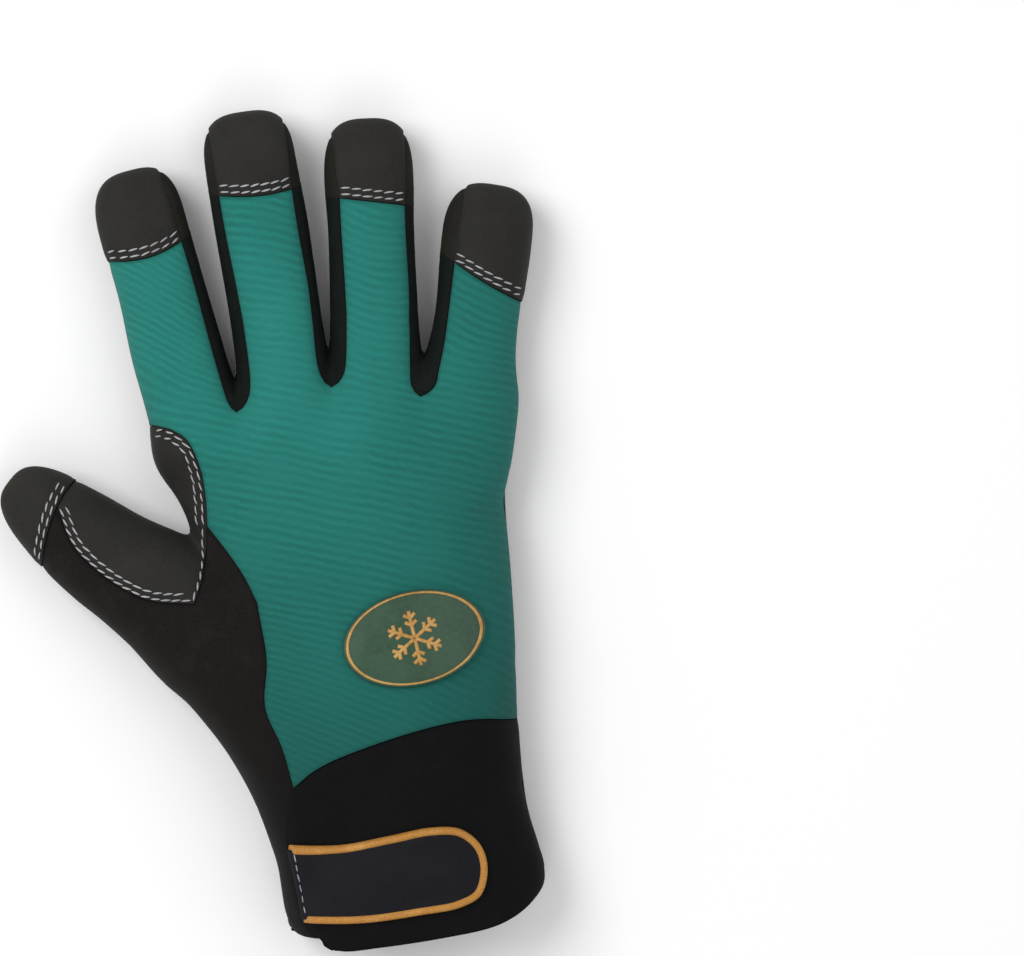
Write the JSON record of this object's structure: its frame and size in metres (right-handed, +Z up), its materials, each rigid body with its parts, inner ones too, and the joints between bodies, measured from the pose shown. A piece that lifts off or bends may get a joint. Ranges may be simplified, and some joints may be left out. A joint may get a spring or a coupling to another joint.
{
  "type": "winter work glove",
  "caption": "Insulated winter work glove for the right hand, lying palm down: ribbed stretch-knit back, leather palm and fingertips, soft cuff with a bound strap.",
  "frame": {"origin": "middle of the glove's box in plan, on the surface that the glove lies on", "axes": "+Y towards the fingertips, -X towards the thumb, +Z up out of the back of the hand"},
  "size_m": [0.1764, 0.2604, 0.0398],
  "materials": {
    "back_knit": "ribbed teal-green stretch knit",
    "palm_leather": "dark charcoal synthetic leather, matte",
    "pad_leather": "dark charcoal synthetic leather overlay",
    "side_fabric": "black soft fabric",
    "cuff_fabric": "black smooth stretch fabric",
    "strap_leather": "dark charcoal synthetic leather",
    "binding_tape": "golden tan tape",
    "badge_rubber": "olive green soft rubber with a gold rim"
  },
  "bodies": {
    "root": {"back_panel": "back_knit", "badge_back": "badge_rubber", "badge_cuff": "badge_rubber", "cap_index": "palm_leather", "cap_little": "palm_leather", "cap_middle": "palm_leather", "cap_ring": "palm_leather", "cap_thumb": "palm_leather", "cuff": "cuff_fabric", "index_patch_base": "pad_leather", "index_patch_mid": "pad_leather", "little_patch_base": "pad_leather", "little_patch_mid": "pad_leather", "middle_patch_base": "pad_leather", "middle_patch_mid": "pad_leather", "palm_pad_heel": "pad_leather", "palm_pad_thenar": "pad_leather", "palm_pad_upper": "pad_leather", "palm_panel": "palm_leather", "ring_patch_base": "pad_leather", "ring_patch_mid": "pad_leather", "side_strip_index_middle": "side_fabric", "side_strip_middle_ring": "side_fabric", "side_strip_ring_little": "side_fabric", "strap": "strap_leather", "strap_binding": "binding_tape", "thumb_patch": "pad_leather", "thumb_saddle": "palm_leather", "thumb_side": "side_fabric"}
  },
  "joints": []
}
